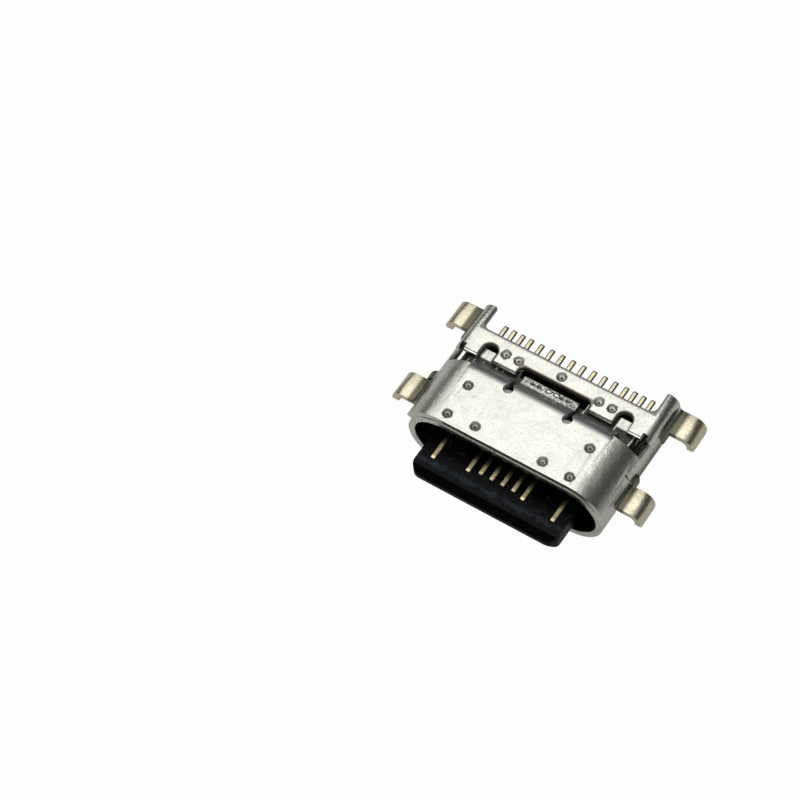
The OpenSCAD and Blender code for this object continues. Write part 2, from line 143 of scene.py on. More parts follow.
class SocketColours(bpy.types.PropertyGroup):
    """Colours of the finishes."""

    nickel: tint("Nickel", "Plated sheet", (0.80, 0.80, 0.725))
    champagne: tint("Champagne", "Gold-flashed solder legs", (0.82, 0.76, 0.56))
    # Painted shade in the concave bend at the root of each leg.
    bend_shade: tint("Bend shade", "Painted shade in the bend at a leg's root", (0.07, 0.06, 0.03))
    # Painted shade: the dark line along rounded stamped edges of the cover and of the solder tails;
    # the mottled band along the rear plate's rear edge takes it too.
    edge: tint("Edge shade", "Dark line along a stamped edge", (0.09, 0.095, 0.09))
    # The cut's brown, laid as lines round the window and the notches: partly the cut's own colour,
    # partly painted shade on the rolled edge.
    wall: tint("Cut face", "Brown face of a stamped cut", (0.24, 0.21, 0.14))
    # Painted shade on the sloping flaps behind the cover.
    flap: tint("Flap shade", "Painted shade on the flaps behind the cover", (0.16, 0.17, 0.17))
    soot: tint("Soot", "Ring burned round a weld spot", (0.035, 0.035, 0.03))
    plastic: tint("Plastic", "Black moulding", (0.0025, 0.003, 0.004))
    dust: tint("Dust", "Bluish bloom on the tongue", (0.05, 0.062, 0.078))
    gold: tint("Gold", "Contact plating", (0.83, 0.70, 0.42))
    tail: tint("Tail", "Tinned edge of a solder tail", (0.62, 0.61, 0.55))


# Finishes

class Finish:
    """A material under way, with its object coordinates in millimetres."""

    def __init__(self, name):
        """Starts an empty material and splits its coordinates."""
        self.material = bpy.data.materials.new(name)
        self.material.use_nodes = True
        self.tree = self.material.node_tree
        self.tree.nodes.clear()
        metres = self.add("ShaderNodeTexCoord").outputs["Object"]
        place = self.add("ShaderNodeMapping", Vector=metres, Scale=(1 / MM, 1 / MM, 1 / MM))
        self.mm = place.outputs["Vector"]
        split = self.add("ShaderNodeSeparateXYZ", Vector=self.mm)
        self.x, self.y, self.z = split.outputs
        self.side = self.maths("ABSOLUTE", self.x)

    def add(self, kind, **inputs):
        """A node with its sockets filled from values or from other sockets."""
        node = self.tree.nodes.new(kind)
        for name, value in inputs.items():
            self.fill(node.inputs[name.replace("_", " ")], value)
        return node

    def fill(self, socket, value):
        """Links a socket, or sets its value."""
        if isinstance(value, bpy.types.NodeSocket):
            self.tree.links.new(value, socket)
        elif socket.type == "RGBA" and len(value) == 3:
            socket.default_value = (*value, 1)
        else:
            socket.default_value = value

    def maths(self, operation, *values):
        """One arithmetic step."""
        node = self.tree.nodes.new("ShaderNodeMath")
        node.operation = operation
        for socket, value in zip(node.inputs, values):
            self.fill(socket, value)
        return node.outputs[0]

    def rise(self, value, low, high):
        """0 below low, 1 above high and a smooth step between."""
        node = self.add("ShaderNodeMapRange", Value=value, From_Min=low, From_Max=high)
        node.interpolation_type = "SMOOTHSTEP"
        return node.outputs["Result"]

    def flip(self, mask):
        """1 where the mask is 0, and 0 where it is 1."""
        return self.maths("SUBTRACT", 1.0, mask)

    def fall(self, value, low, high):
        """1 below low and 0 above high."""
        return self.flip(self.rise(value, low, high))

    def reach(self, across, along):
        """Distance of a point whose two offsets are across and along."""
        squares = [self.maths("MULTIPLY", leg, leg) for leg in (across, along)]
        return self.maths("SQRT", self.maths("ADD", *squares))

    def within(self, value, low, high, soft):
        """1 between low and high, fading over soft at both ends."""
        return self.maths("MULTIPLY", self.rise(value, low, low + soft),
                          self.fall(value, high - soft, high))

    def every(self, *masks):
        """The product of masks."""
        product = masks[0]
        for mask in masks[1:]:
            product = self.maths("MULTIPLY", product, mask)
        return product

    def grain(self, scale, detail=2.0, roughness=0.5, stretch=(1, 1, 1)):
        """Noise with scale cells a millimetre."""
        place = self.add("ShaderNodeMapping", Vector=self.mm, Scale=stretch)
        node = self.add("ShaderNodeTexNoise", Vector=place.outputs["Vector"], Scale=scale,
                        Detail=detail, Roughness=roughness)
        return node.outputs["Fac"]

    def blend(self, mask, first, second):
        """Colour that goes from first to second with mask."""
        node = self.tree.nodes.new("ShaderNodeMix")
        node.data_type = "RGBA"
        self.fill(node.inputs[0], mask)
        self.fill(node.inputs[6], first)
        self.fill(node.inputs[7], second)
        return node.outputs[2]

    def dents(self, *layers):
        """Bumps laid over one another, each a height socket and its depth in millimetres."""
        normal = None
        for height, depth in layers:
            bump = self.add("ShaderNodeBump", Height=height, Distance=depth * MM, Strength=1.0)
            if normal is not None:
                self.fill(bump.inputs["Normal"], normal)
            normal = bump.outputs["Normal"]
        return normal

    def surface(self, **inputs):
        """Ends the material in a principled shader."""
        shader = self.add("ShaderNodeBsdfPrincipled", **inputs)
        output = self.add("ShaderNodeOutputMaterial", Surface=shader.outputs["BSDF"])
        output.is_active_output = True
        return self.material


def shade(colour, level):
    """A colour made darker or lighter."""
    return tuple(level * part for part in colour)


def plated(finish, colours):
    """Colour, roughness and dents that both steel pieces share: cloudy plating with fine
    pits and faint rolling lines."""
    cloud = finish.grain(1.3, 4.0, 0.6)
    speckle = finish.rise(finish.grain(11.0, 5.0, 0.75), 0.47, 0.62)
    fleck = finish.rise(finish.grain(5.0, 5.0, 0.75, (1, 2.0, 1)), 0.60, 0.66)
    nickel = colours.nickel
    colour = finish.blend(finish.rise(cloud, 0.35, 0.75), nickel, shade(nickel, 0.86))
    colour = finish.blend(finish.maths("MULTIPLY", speckle, 0.45), colour, shade(nickel, 0.62))
    colour = finish.blend(finish.maths("MULTIPLY", fleck, 0.6), colour, shade(nickel, 0.4))
    rough = finish.maths("MULTIPLY_ADD", cloud, 0.14, 0.2)
    dents = [
        (finish.grain(2.2, 3.0, 0.6), 0.02),
        (finish.grain(14.0, 3.0, 0.6), 0.005),
        (finish.grain(5.0, 2.0, 0.5, (1, 14, 1)), 0.0012),
    ]
    return colour, rough, dents


def shell_finish(colours):
    """Nickel on the drawn shell, with painted shade on the step, in the cavity above it and in the
    tube.
    """
    finish = Finish("drawn_nickel")
    colour, rough, dents = plated(finish, colours)
    drawn = finish.grain(7.0, 2.0, 0.5, (1, 0.12, 1))
    step = finish.within(finish.y, 2.72, 4.4, 0.06)
    patch = finish.every(finish.within(finish.side, 2.86, 3.42, 0.07),
                         finish.rise(finish.y, 3.62, 3.7))
    above = finish.every(finish.rise(finish.z, 0.3, 0.6), finish.flip(patch))
    # Painted shade on the step, streaky; above it, outside the patch seen through the notches, near
    # black where the cover's cavity lies, with the noise's low spots left light as painted glints.
    colour = finish.blend(finish.every(step, finish.rise(drawn, 0.4, 0.7)), colour,
                          shade(colours.nickel, 0.6))
    colour = finish.blend(finish.every(step, above, finish.rise(drawn, 0.3, 0.42)), colour,
                          shade(colours.nickel, 0.05))
    # Painted shade inside the tube, from just behind the rim to the step.
    out = finish.maths("MAXIMUM", finish.maths("SUBTRACT", finish.side, ROUND_END_X), 0.0)
    radius = finish.reach(out, finish.z)
    inside = finish.every(finish.fall(radius, 1.3, 1.36),
                          finish.rise(finish.y, 0.03, 0.15),
                          finish.fall(finish.y, 2.4, 2.6))
    colour = finish.blend(finish.maths("MULTIPLY", inside, 0.85), colour,
                          shade(colours.nickel, 0.12))
    floor = finish.every(finish.within(finish.side, 1.05, 1.65, 0.04),
                         finish.within(finish.y, 2.35, 2.85, 0.04), finish.rise(finish.z, 1.0, 1.1))
    rim = finish.fall(finish.y, 0.02, 0.08)
    pits = finish.rise(finish.grain(6.0, 3.0, 0.6), 0.56, 0.66)
    colour = finish.blend(finish.every(rim, pits, 0.4), colour, colours.soot)
    return finish.surface(Base_Color=colour, Metallic=finish.flip(floor),
                          Roughness=rough, Normal=finish.dents(*dents))


# Places of marks in the finishes, in millimetres; X is counted from the middle to either side.
CONTACT_PITCH = 0.5
SIGNAL_OUT, POWER_OUT, GROUND_OUT = 0.55, 0.69, 0.89    # tips in front of the rim
TAIL_PITCH, OUTER_TAIL_PITCH, INNER_TAILS_X = 0.49, 0.4, 2.205
NOTCH = (3.1, 3.97, 0.33)       # centre and radius of the notch's round end
WINDOW = (1.65, 4.03)           # half width and rear edge
PLATE_REAR, EAR_X = 4.8, 3.95
PLATE_ZONE = (1.1, 1.2)         # heights over which the plate's marks fade in
PAD_TOP = 1.4
SPLASHES_X, SPLASHES_Y = (-0.08, 0.28), 3.53
PITS = [(0.52, 3.5), (0.8, 3.5)]
ROUND_END_X = TUBE_HIGH[0] - TUBE_HIGH[2]
TOP_SPOTS = [(2.78, 1.93), (2.78, 0.44), (1.54, 0.49)]
PLATE_SPOTS = [(2.44, 4.13), (1.85, 4.13), (0.0, 4.36)]


def burned_spots(finish, colour, colours, spots, level):
    """A sooty ring, a pit of burned metal and a black core at each weld spot."""
    flat = finish.add("ShaderNodeCombineXYZ", X=finish.side, Y=finish.y).outputs[0]
    reach = 9.0
    for spot in spots:
        away = finish.tree.nodes.new("ShaderNodeVectorMath")
        away.operation = "DISTANCE"
        finish.fill(away.inputs[0], flat)
        away.inputs[1].default_value = (*spot, 0)
        reach = finish.maths("MINIMUM", reach, away.outputs["Value"])
    ragged = finish.maths("MULTIPLY_ADD", finish.grain(7.0), 0.12,
                          finish.maths("SUBTRACT", reach, 0.06))
    pit = finish.fall(ragged, 0.16, 0.2)
    core = finish.fall(ragged, 0.045, 0.085)
    ring = finish.within(ragged, 0.155, 0.25, 0.035)
    colour = finish.blend(pit, colour, shade(colours.nickel, level))
    colour = finish.blend(finish.maths("MULTIPLY", ring, 0.85), colour, colours.soot)
    return finish.blend(finish.maths("MULTIPLY", core, 0.9), colour, shade(colours.soot, 0.5))


def edge_shade_lines(finish):
    """Masks of painted shade lines along the rear plate's cut edges: one for the rear edge and the
    ears' inner edges, one for the window and the notches. A notch is a circle carried forward."""
    back = finish.maths("SUBTRACT", finish.y, NOTCH[1])
    behind = finish.maths("MAXIMUM", back, 0.0)
    beside = finish.maths("SUBTRACT", finish.side, NOTCH[0])
    notch = finish.maths("SUBTRACT", finish.reach(behind, beside), NOTCH[2])
    window = finish.maths("MAXIMUM", finish.maths("SUBTRACT", finish.side, WINDOW[0]),
                          finish.maths("SUBTRACT", finish.y, WINDOW[1]))
    rear = finish.maths("MAXIMUM", finish.maths("SUBTRACT", PLATE_REAR, finish.y),
                        finish.maths("SUBTRACT", finish.side, EAR_X))
    ear = finish.maths("MAXIMUM", finish.maths("SUBTRACT", finish.side, EAR_X),
                       finish.maths("SUBTRACT", PLATE_REAR, finish.y))
    plate = finish.every(finish.rise(finish.y, 3.6, 3.66), finish.rise(finish.z, *PLATE_ZONE))
    lines = []
    for gaps, line in (((rear, ear), 0.16), ((window, notch), 0.1)):
        near = finish.maths("MINIMUM", *[finish.maths("ABSOLUTE", gap) for gap in gaps])
        lines.append(finish.every(plate, finish.fall(near, 0.4 * line, line), 0.85))
    return lines


def cover_finish(colours):
    """Nickel on the stamped cover, with sooty weld spots, a splashed weld pad and gold-flashed
    legs, and painted shade on the sloping flaps, along the plate's edges and in the bends at the
    leg roots."""
    finish = Finish("stamped_nickel")
    colour, rough, dents = plated(finish, colours)

    for spots, level in ((TOP_SPOTS, 0.4), (PLATE_SPOTS, 0.62)):
        colour = burned_spots(finish, colour, colours, spots, level)

    middle = finish.fall(finish.side, 1.24, 1.32)
    pad = finish.every(middle, finish.within(finish.y, 3.26, 3.85, 0.08))
    # Painted shade on the sloping flaps behind the cover: a flat dark grey, also made less metallic
    # below.
    shaded_slope = finish.every(
        finish.fall(finish.side, 3.25, 3.32),
        finish.rise(finish.y, 2.56, 2.82), finish.fall(finish.y, 3.38, 3.42),
        finish.rise(finish.z, *PLATE_ZONE), finish.flip(pad))
    colour = finish.blend(finish.maths("MULTIPLY", shaded_slope, 0.95), colour, colours.flap)
    mottle = finish.rise(finish.grain(10.0, 4.0, 0.75, (1, 2.0, 1)), 0.5, 0.6)
    rear = finish.every(finish.rise(finish.y, PLATE_REAR - 0.3, PLATE_REAR - 0.02),
                        finish.rise(finish.z, *PLATE_ZONE), mottle, 0.7)
    colour = finish.blend(rear, colour, colours.edge)
    # Painted shade as lines along the plate's cut edges: dark along the rear edge and the ears, and
    # brown round the window and the notches, partly the cut's own brown and partly painted shade on
    # the rolled edge.
    outline, opening_cut_and_shade = edge_shade_lines(finish)
    colour = finish.blend(outline, colour, colours.edge)
    colour = finish.blend(opening_cut_and_shade, colour, colours.wall)
    spatter = finish.rise(finish.grain(16.0, 4.0, 0.8), 0.5, 0.56)
    colour = finish.blend(finish.every(pad, spatter, 0.95), colour, shade(colours.nickel, 0.16))
    pits = 0.0
    for x, y in PITS:
        across = finish.maths("SUBTRACT", finish.side, x)
        along = finish.maths("MULTIPLY", finish.maths("SUBTRACT", finish.y, y), 1.6)
        away = finish.maths("SUBTRACT", finish.reach(across, along), 0.08)
        away = finish.maths("MULTIPLY_ADD", finish.grain(8.0), 0.16, away)
        pits = finish.maths("MAXIMUM", pits, finish.fall(away, 0.07, 0.15))
    colour = finish.blend(finish.every(pad, pits, 0.9), colour, colours.soot)

    leg = finish.rise(finish.side, 4.68, 5.1)
    colour = finish.blend(leg, colour, colours.champagne)
    worn = finish.rise(finish.grain(22.0, 4.0, 0.7, (1, 0.6, 1)), 0.44, 0.6)
    colour = finish.blend(finish.every(leg, worn, 0.55), colour, shade(colours.champagne, 0.5))
    # Painted shade in the concave bend at the root of each leg.
    root = finish.every(finish.within(finish.side, 4.5, 5.06, 0.18),
                        finish.within(finish.z, 0.4, 1.02, 0.12))
    colour = finish.blend(finish.maths("MULTIPLY", root, 0.9), colour, colours.bend_shade)
    rough = finish.maths("MAXIMUM", rough, finish.maths("MULTIPLY", pad, 0.34))
    dents.append((finish.maths("MULTIPLY", pad, finish.grain(6.0, 3.0, 0.6)), 0.05))
    # Less metallic where the painted shade lies on the flaps and round the openings.
    dull = finish.flip(finish.maths("MULTIPLY", finish.maths("MAXIMUM", shaded_slope, opening_cut_and_shade), 0.7))
    return finish.surface(Base_Color=colour, Metallic=dull, Roughness=rough,
                          Normal=finish.dents(*dents))


def splash_finish(colours):
    """Frozen weld metal, with a painted highlight on the crests and painted shade at the foot."""
    finish = Finish("weld_metal")
    # Painted light by height: painted shade, in soot's colour, round each splash's foot and a
    # painted highlight, brighter than the nickel, on its crest.
    colour = finish.blend(finish.rise(finish.z, 1.408, 1.418), colours.soot,
                          shade(colours.nickel, 1.24))
    return finish.surface(Base_Color=colour, Metallic=1.0, Roughness=0.25,
                          Normal=finish.dents((finish.grain(9.0, 3.0, 0.6), 0.008)))


def plastic_finish(colours):
    """Black moulding with a dusty bluish bloom on its flat faces."""
    finish = Finish("black_moulding")
    band = finish.maths("MULTIPLY_ADD", finish.within(finish.y, -1.3, -0.8, 0.3), 0.2,
                        finish.grain(3.0, 6.0, 0.78))
    bloom = finish.rise(band, 0.54, 0.72)
    speck = finish.rise(finish.grain(22.0, 2.0, 0.6), 0.62, 0.74)
    behind = finish.rise(finish.y, -1.45, -1.25)
    colour = finish.blend(finish.every(bloom, behind, 0.75), colours.plastic, colours.dust)
    colour = finish.blend(finish.every(speck, behind, 0.4), colour,
                          shade(colours.dust, 2.2))
    rough = finish.maths("MULTIPLY_ADD", finish.every(bloom, behind), 0.25, 0.27)
    return finish.surface(Base_Color=colour, Metallic=0.0, Roughness=rough, Specular_IOR_Level=0.07,
                          Normal=finish.dents((finish.grain(12.0, 4.0, 0.6), 0.006),
                                              (finish.grain(2.0, 2.0, 0.5), 0.012)))


def contact_finish(colours):
    """Gold, scuffed lengthwise, brightest at the tip ahead of a painted shadow of the shell, with
    painted shade along the sides and edges, and tinned edges on the tails.
    """
    finish = Finish("contact_gold")
    scuff = finish.grain(16.0, 3.0, 0.6, (1, 0.15, 1))
    colour = finish.blend(finish.rise(scuff, 0.45, 0.7), colours.gold,
                          shade(colours.gold, 0.7))
    # Painted shade along each contact's sides, up to 2.6 mm behind the rim.
    off_centre = finish.maths("ABSOLUTE", finish.maths(
        "SUBTRACT", finish.maths("PINGPONG", finish.x, CONTACT_PITCH), CONTACT_PITCH / 2))
    edge = finish.every(finish.rise(off_centre, 0.06, 0.11),
                        finish.fall(finish.y, 2.6, 2.8))
    colour = finish.blend(finish.maths("MULTIPLY", edge, 0.8), colour, shade(colours.gold, 0.15))
    # Painted shadow of the shell over each contact from 0.1 mm behind its tip back to the tail,
    # which leaves the tip brightest.
    power = finish.maths("GREATER_THAN", finish.side, 2 * CONTACT_PITCH)
    ground = finish.maths("GREATER_THAN", finish.side, 4 * CONTACT_PITCH)
    out = finish.maths("MULTIPLY_ADD", power, POWER_OUT - SIGNAL_OUT, finish.maths(
        "MULTIPLY_ADD", ground, GROUND_OUT - POWER_OUT, SIGNAL_OUT - 0.1))
    behind = finish.maths("ADD", finish.y, out)
    dull = finish.every(finish.rise(behind, 0.0, 0.1), finish.fall(finish.y, 4.6, 4.8))
    colour = finish.blend(finish.maths("MULTIPLY", dull, 0.85), colour, shade(colours.gold, 0.2))
    signal = finish.every(finish.flip(power),
                          finish.fall(finish.y, 0.0, 0.5), 0.6)
    colour = finish.blend(signal, colour, shade(colours.gold, 0.3))
    inner = finish.maths("ABSOLUTE", finish.maths(
        "SUBTRACT", finish.maths("PINGPONG", finish.x, TAIL_PITCH), TAIL_PITCH / 2))
    outer = finish.maths("PINGPONG", finish.maths("SUBTRACT", finish.side, INNER_TAILS_X),
                         OUTER_TAIL_PITCH / 2)
    far = finish.maths("GREATER_THAN", finish.side, INNER_TAILS_X + OUTER_TAIL_PITCH / 2)
    aside = finish.maths("ADD", finish.maths("MULTIPLY", outer, far), finish.maths(
        "MULTIPLY", inner, finish.flip(far)))
    tail = finish.rise(finish.y, 4.7, 4.9)
    worn = finish.rise(finish.grain(7.0, 3.0, 0.6), 0.4, 0.62)
    colour = finish.blend(finish.every(tail, worn, 0.75), colour, colours.tail)
    # Painted shade along the tails' edges and across their ends.
    border = finish.every(tail, finish.maths("MAXIMUM", finish.rise(aside, 0.04, 0.075),
                                             finish.rise(finish.y, 5.58, 5.68)))
    colour = finish.blend(finish.maths("MULTIPLY", border, 0.9), colour, colours.edge)
    return finish.surface(Base_Color=colour, Metallic=1.0,
                          Roughness=finish.maths("MULTIPLY_ADD", scuff, 0.18, 0.2),
                          Normal=finish.dents((scuff, 0.004), (finish.grain(5.0), 0.01)))


# Meshes

def make_piece(name, vertices, faces, material):
    """A piece from an array of points in millimetres and one of faces."""
    mesh = bpy.data.meshes.new(name)
    mesh.from_pydata((vertices * MM).tolist(), [], [list(face) for face in faces])
    mesh.update()
    piece = bpy.data.objects.new(name, mesh)
    bpy.context.scene.collection.objects.link(piece)
    mesh.materials.append(material)
    mesh.shade_smooth()
    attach(piece, "root")
    return piece


def eased_copy(node, width, material, segments=2, angle=38, clamp=True, broad=None):
    """A CAD node's own form with its triangles merged and its sharp edges rounded. Edges whose
    two ends pass the test broad, given in mm, are rounded to their full width."""
    piece = frame["nodes"][node].copy()
    piece.data = piece.data.copy()
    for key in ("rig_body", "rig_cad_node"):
        if key in piece:
            del piece[key]
    piece.parent = None
    piece.name = node + "_finished"
    bpy.context.scene.collection.objects.link(piece)
    work = bmesh.new()
    work.from_mesh(piece.data)
    bmesh.ops.remove_doubles(work, verts=work.verts, dist=2e-4 * MM)
    bmesh.ops.dissolve_degenerate(work, edges=work.edges, dist=2e-4 * MM)
    bmesh.ops.dissolve_limit(work, angle_limit=math.radians(0.4), verts=work.verts,
                             edges=work.edges)
    weight = work.edges.layers.float.new("bevel_weight_edge")
    for edge in work.edges if broad else ():
        sharp = edge.is_manifold and edge.calc_face_angle() > math.radians(angle)
        edge[weight] = float(sharp and all(broad(end.co / MM) for end in edge.verts))
    work.to_mesh(piece.data)
    work.free()
    piece.data.materials.clear()
    piece.data.materials.append(material)
    piece.data.shade_smooth()
    piece.data.set_sharp_from_angle(angle=math.radians(angle))
    if broad:
        rolled = piece.modifiers.new("rolled edges", "BEVEL")
        rolled.width = 1.5 * width * MM
        rolled.segments = 3
        rolled.limit_method = "WEIGHT"
        rolled.use_clamp_overlap = False
    bevel = piece.modifiers.new("eased edges", "BEVEL")
    bevel.width = width * MM
    bevel.segments = segments
    bevel.limit_method = "ANGLE"
    bevel.angle_limit = math.radians(angle)
    bevel.use_clamp_overlap = clamp
    bevel.miter_outer = "MITER_ARC"
    even = piece.modifiers.new("even shading", "WEIGHTED_NORMAL")
    even.mode = "FACE_AREA"
    even.keep_sharp = False
    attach(piece, "root")
    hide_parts(node)
    return piece


def smooth_step(u):
    """0 to 1 with level ends: 3u^2 - 2u^3."""
    u = np.clip(u, 0, 1)
    return u * u * (3 - 2 * u)


def ring_parts(corner, span):
    """Sign along x, sign along z and angle of each point of a rounded section. Each corner is
    an arc of `corner` steps, each flat `span` steps, and each end has one middle point."""
    arc = np.linspace(0, 90, corner + 1)
    run = np.linspace(1, -1, span + 1)[1:-1]
    ones = np.ones(corner)
    sx = np.concatenate([[1], ones, run, -ones, [-1], -ones, -run, ones])
    sz = np.concatenate([[0], ones, np.ones(span - 1), ones, [0], -ones, -np.ones(span - 1), -ones])
    angle = np.concatenate([[0], arc[1:], np.full(span - 1, 90), 90 + arc[:-1],
                            [180], 180 + arc[1:], np.full(span - 1, 270), 270 + arc[:-1]])
    return sx, sz, np.radians(angle)


def shell_surface(sizes):
    """Points of the drawn shell on a grid. Round the section: the corner's centre plus its
    radius along the angle. Along the wall: out to the rim, round it and back inside, where the
    section goes from tube to neck by the smooth step."""
    half_w, half_h = TUBE_HIGH[0], TUBE_HIGH[2]
    rear = TUBE_HIGH[1]
    edge = np.linspace(0, math.pi / 2, 7)
    r = sizes.rim_round
    back = 0.03
    runs = np.concatenate([
        [rear - 0.5],
        np.linspace(sizes.tube_depth + sizes.step_length + 0.1, sizes.tube_depth - 0.15, 36),
        np.linspace(sizes.tube_depth - 0.4, 0.3, 5)])
    y = np.concatenate([[rear - back], runs, r * (1 - np.sin(edge)), r * (1 - np.cos(edge)),
                        runs[::-1], [rear - back], [rear, rear]])
    d = np.concatenate([[0], np.zeros(len(runs)), r * (1 - np.cos(edge)),
                        sizes.wall - r + r * np.sin(edge),
                        np.full(len(runs), sizes.wall), [sizes.wall], [sizes.wall - back, back]])
    lead = sizes.wall * math.tan(math.radians(22.5)) * d / sizes.wall
    s = smooth_step((y - sizes.tube_depth + lead) / sizes.step_length)
    a = half_w - s * sizes.step_side - d
    b = half_h - s * sizes.step_drop - d
    c = half_h * (1 - s) + sizes.neck_corner * s - d
    sx, sz, angle = ring_parts(20, 14)
    x = sx[None] * (a - c)[:, None] + c[:, None] * np.cos(angle)[None]
    z = sz[None] * (b - c)[:, None] + c[:, None] * np.sin(angle)[None]
    return np.stack([x, np.repeat(y[:, None], len(sx), 1), z], -1)


def cut_away(piece, low, high):
    """Takes the box from low to high, in millimetres, out of a piece's mesh."""
    corners = np.array([[x, y, z] for x in (low[0], high[0]) for y in (low[1], high[1])
                        for z in (low[2], high[2])])
    box = bpy.data.meshes.new("cut")
    box.from_pydata((corners * MM).tolist(), [], [(0, 1, 3, 2), (4, 6, 7, 5), (0, 4, 5, 1),
                                                  (2, 3, 7, 6), (0, 2, 6, 4), (1, 5, 7, 3)])
    tool = bpy.data.objects.new("cut", box)
    bpy.context.scene.collection.objects.link(tool)
    step = piece.modifiers.new("cut", "BOOLEAN")
    step.operation, step.solver, step.object = "DIFFERENCE", "EXACT", tool
    ready = piece.evaluated_get(bpy.context.evaluated_depsgraph_get())
    whole, piece.data = piece.data, bpy.data.meshes.new_from_object(ready)
    piece.modifiers.remove(step)
    bpy.data.objects.remove(tool)
    for mesh in (box, whole):
        bpy.data.meshes.remove(mesh)
    piece.data.set_sharp_from_angle(angle=math.radians(40))


def closed_grid(points, close_rows=True):
    """Vertices and quads of a grid that closes round its columns, and along its rows if asked."""
    rows, columns = points.shape[:2]
    bands = rows if close_rows else rows - 1
    i, j = np.meshgrid(np.arange(bands), np.arange(columns), indexing="ij")
    nexti, nextj = (i + 1) % rows, (j + 1) % columns
    faces = np.stack([i * columns + j, i * columns + nextj, nexti * columns + nextj,
                      nexti * columns + j], -1).reshape(-1, 4)
    return points.reshape(-1, 3), faces


def capped_grid(points):
    """Vertices and faces of a grid that closes round its columns, with both end rows filled."""
    vertices, faces = closed_grid(points, close_rows=False)
    columns = points.shape[1]
    last = len(vertices) - columns
    first_cap, last_cap = range(columns - 1, -1, -1), range(last, last + columns)
    return vertices, [*faces.tolist(), list(first_cap), list(last_cap)]


def splash_surface(centre, radius, height, turn):
    """A frozen splash: a dome whose height falls as (1 - t^2)^2 from crown to edge, with a
    wavy outline of three and five lobes."""
    t = np.linspace(1, 0.04, 9)[:, None]
    a = np.linspace(0, 2 * math.pi, 36, endpoint=False)[None]
    wave = 1 + 0.10 * np.sin(3 * a + turn) + 0.07 * np.sin(5 * a - 2 * turn)
    x = centre[0] + 1.2 * radius * t * wave * np.cos(a)
    y = centre[1] + 0.8 * radius * t * wave * np.sin(a)
    z = centre[2] + height * (1 - t ** 2) ** 2 * (1 + 0.2 * np.cos(2 * a + turn) * t)
    return np.stack([x, y, z + np.zeros_like(x)], -1)


# Operators

class SOCKET_OT_drawn_shell(bpy.types.Operator):
    """Make the drawn inner shell with a smooth step and a rounded rim"""

    bl_idname = "socket.drawn_shell"
    bl_label = "Drawn shell"

    def execute(self, context):
        """Builds the shell's grid and lets it stand for the CAD node."""
        sizes = context.scene.socket_shell
        vertices, faces = closed_grid(shell_surface(sizes))
        piece = make_piece("drawn_shell", vertices, faces,
                           shell_finish(context.scene.socket_colours))
        half = sizes.neck_cut
        neck_top = TUBE_HIGH[2] - sizes.step_drop
        cut_away(piece, (-half, sizes.neck_cut_start, neck_top - 1.5 * sizes.wall),
                 (half, TUBE_HIGH[1] + 1, neck_top + 1))
        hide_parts("inner_shell")
        return {"FINISHED"}


def on_rear_plate(place):
    """Whether a point, in mm, lies on the flat of the rear plate."""
    return abs(place.x) < EAR_X + 0.05 and place.y > 3.4 and place.z > 1.25


class SOCKET_OT_stamped_cover(bpy.types.Operator):
    """Make the stamped cover with eased edges, burned weld spots and gold-flashed legs"""

    bl_idname = "socket.stamped_cover"
    bl_label = "Stamped cover"

    def execute(self, context):
        """Eases the CAD node's edges and gives it its finish."""
        eased_copy("outer_shell", context.scene.socket_edges.sheet,
                   cover_finish(context.scene.socket_colours), broad=on_rear_plate)
        return {"FINISHED"}


class SOCKET_OT_weld_splashes(bpy.types.Operator):
    """Lay the frozen weld splashes on the pad"""

    bl_idname = "socket.weld_splashes"
    bl_label = "Weld splashes"

    def execute(self, context):
        """Builds one splash for each weld."""
        edges = context.scene.socket_edges
        finish = splash_finish(context.scene.socket_colours)
        for number, x in enumerate(SPLASHES_X):
            centre = (x, SPLASHES_Y, PAD_TOP - 0.002)
            points = splash_surface(centre, edges.splash_radius, edges.splash_height, 1.7 * number)
            vertices, faces = capped_grid(points)
            make_piece(f"weld_splash_{number + 1}", vertices, faces, finish)
        return {"FINISHED"}


class SOCKET_OT_mouldings(bpy.types.Operator):
    """Make the tongue and the contact blocks in black plastic"""

    bl_idname = "socket.mouldings"
    bl_label = "Mouldings"

    def execute(self, context):
        """Eases the mouldings' edges and gives them one finish."""
        finish = plastic_finish(context.scene.socket_colours)
        width = context.scene.socket_edges.moulding
        for node in ("tongue_moulding", "upper_contact_block", "lower_contact_block"):
            eased_copy(node, width, finish, segments=3)
        return {"FINISHED"}


class SOCKET_OT_contacts(bpy.types.Operator):
    """Make the gold-plated contacts and the shield plate between their rows"""

    bl_idname = "socket.contacts"
    bl_label = "Contacts"

    def execute(self, context):
        """Eases each contact's edges, and finishes the plate where it is."""
        colours = context.scene.socket_colours
        finish = contact_finish(colours)
        for node in CONTACT_NODES:
            eased_copy(node, context.scene.socket_edges.contact, finish,
                       clamp=False)
        plate = frame["nodes"]["shield_plate"]
        plate.data.materials.clear()
        plate.data.materials.append(shell_finish(colours))
        return {"FINISHED"}


def lamp(name, place, target, size, power):
    """A square soft lamp at place that faces target, both in millimetres."""
    light = bpy.data.lights.new(name, "AREA")
    light.shape = "RECTANGLE"
    light.size, light.size_y = size[0] * MM, size[1] * MM
    light.energy = power
    holder = bpy.data.objects.new(name, light)
    holder.location = Vector(place) * MM
    holder.rotation_euler = (Vector(target) - Vector(place)).to_track_quat("-Z", "Y").to_euler()
    bpy.context.scene.collection.objects.link(holder)
    return holder


